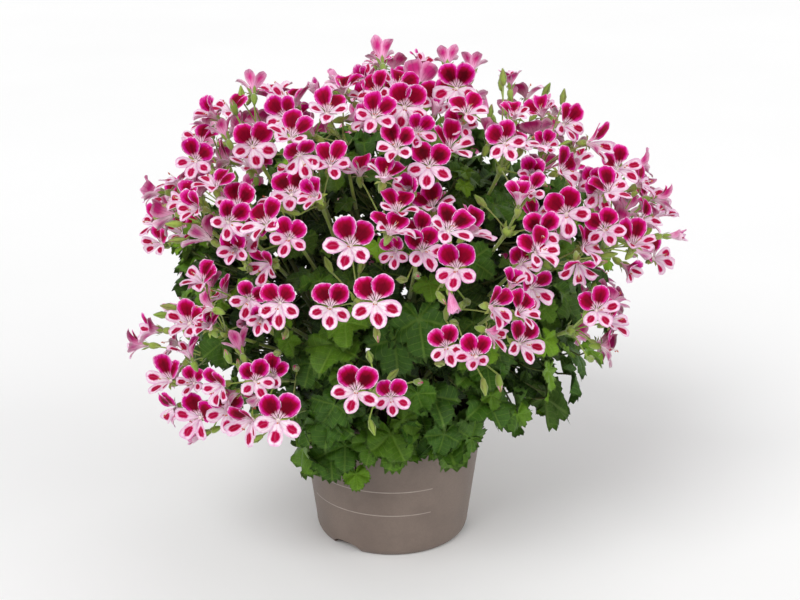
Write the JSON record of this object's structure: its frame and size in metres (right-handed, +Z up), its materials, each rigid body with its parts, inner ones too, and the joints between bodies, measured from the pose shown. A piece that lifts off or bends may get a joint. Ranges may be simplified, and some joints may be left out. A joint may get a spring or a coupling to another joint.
{
  "type": "potted angel pelargonium",
  "caption": "Bushy flowering pelargonium with two-toned pink blooms on long stalks over lobed green leaves, growing in a round tapered plastic pot.",
  "frame": {"origin": "centre of the pot's foot, on the surface that the pot stands on", "axes": "+Z up along the pot's axis, -Y towards the side that the picture shows, +X to that view's right"},
  "size_m": [0.4728, 0.4302, 0.4467],
  "materials": {
    "pot": "satin moulded polypropylene, taupe",
    "substrate": "damp crumbly peat and bark potting mix, dark brown",
    "foliage": "soft matte green leaves with fine hairs, on pale green stems",
    "blooms": "thin velvety petals, pale pink with crimson blotches and magenta upper petals"
  },
  "bodies": {
    "root": {"pot": "pot", "shoot_1": "foliage", "shoot_2": "foliage", "shoot_3": "foliage", "shoot_4": "foliage", "shoot_5": "foliage", "shoot_6": "foliage", "shoot_7": "foliage", "shoot_8": "foliage", "substrate": "substrate", "truss_back_a": "blooms", "truss_back_b": "blooms", "truss_back_c": "blooms", "truss_back_d": "blooms", "truss_back_e": "blooms", "truss_back_f": "blooms", "truss_back_high_a": "blooms", "truss_back_high_b": "blooms", "truss_back_high_c": "blooms", "truss_back_low_a": "blooms", "truss_back_low_b": "blooms", "truss_back_low_c": "blooms", "truss_back_low_d": "blooms", "truss_back_top": "blooms", "truss_centre": "blooms", "truss_centre_high": "blooms", "truss_centre_low": "blooms", "truss_centre_right": "blooms", "truss_centre_top": "blooms", "truss_inner_left": "blooms", "truss_left_big": "blooms", "truss_left_corner": "blooms", "truss_left_edge": "blooms", "truss_left_hanging": "blooms", "truss_left_inner": "blooms", "truss_left_low": "blooms", "truss_left_middle": "blooms", "truss_left_row": "blooms", "truss_left_shoulder": "blooms", "truss_left_spire": "blooms", "truss_left_tip": "blooms", "truss_left_wing": "blooms", "truss_middle_low": "blooms", "truss_right_corner": "blooms", "truss_right_crown": "blooms", "truss_right_edge": "blooms", "truss_right_inner": "blooms", "truss_right_low": "blooms", "truss_right_middle": "blooms", "truss_right_rim": "blooms", "truss_right_shoulder": "blooms", "truss_right_side": "blooms", "truss_right_top": "blooms", "truss_right_upper": "blooms", "truss_rim_front": "blooms", "truss_top_left": "blooms", "truss_top_pair": "blooms", "truss_top_tip": "blooms"}
  },
  "joints": []
}
